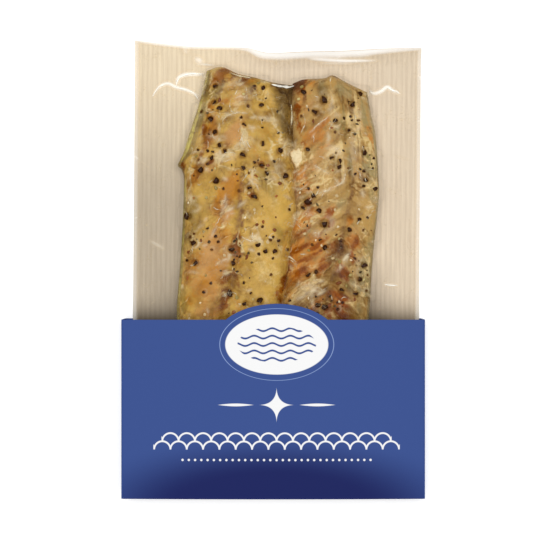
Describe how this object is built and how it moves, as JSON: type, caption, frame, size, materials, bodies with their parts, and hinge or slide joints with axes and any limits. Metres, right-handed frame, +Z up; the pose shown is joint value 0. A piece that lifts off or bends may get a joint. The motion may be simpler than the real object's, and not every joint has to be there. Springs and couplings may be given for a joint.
{
  "type": "peppered smoked mackerel fillets in a sleeved vacuum pack",
  "caption": "Peppered smoked mackerel fillets under tight clear film on a kraft-look back sheet, with a printed card sleeve round the tail half; lies flat as food stock.",
  "frame": {"origin": "on the surface that the pack lies on, under its back sheet, near the middle of the pack", "axes": "+Z up through the pack's front, +Y along the pack from the tail ends to the head ends, +X to the right"},
  "size_m": [0.1606, 0.245, 0.0215],
  "materials": {
    "kraft_sheet": "pale brown kraft paper look with fine ribs, under film",
    "smoked_mackerel": "golden brown smoked fish, moist and oily",
    "cracked_pepper": "rough dark cracked peppercorns and seeds",
    "clear_film": "thin clear vacuum film, glossy and creased",
    "printed_card": "blue printed card with a low sheen"
  },
  "bodies": {
    "root": {"back_sheet": "kraft_sheet", "filled_pouch": "smoked_mackerel", "card_sleeve": "printed_card"}
  },
  "joints": []
}
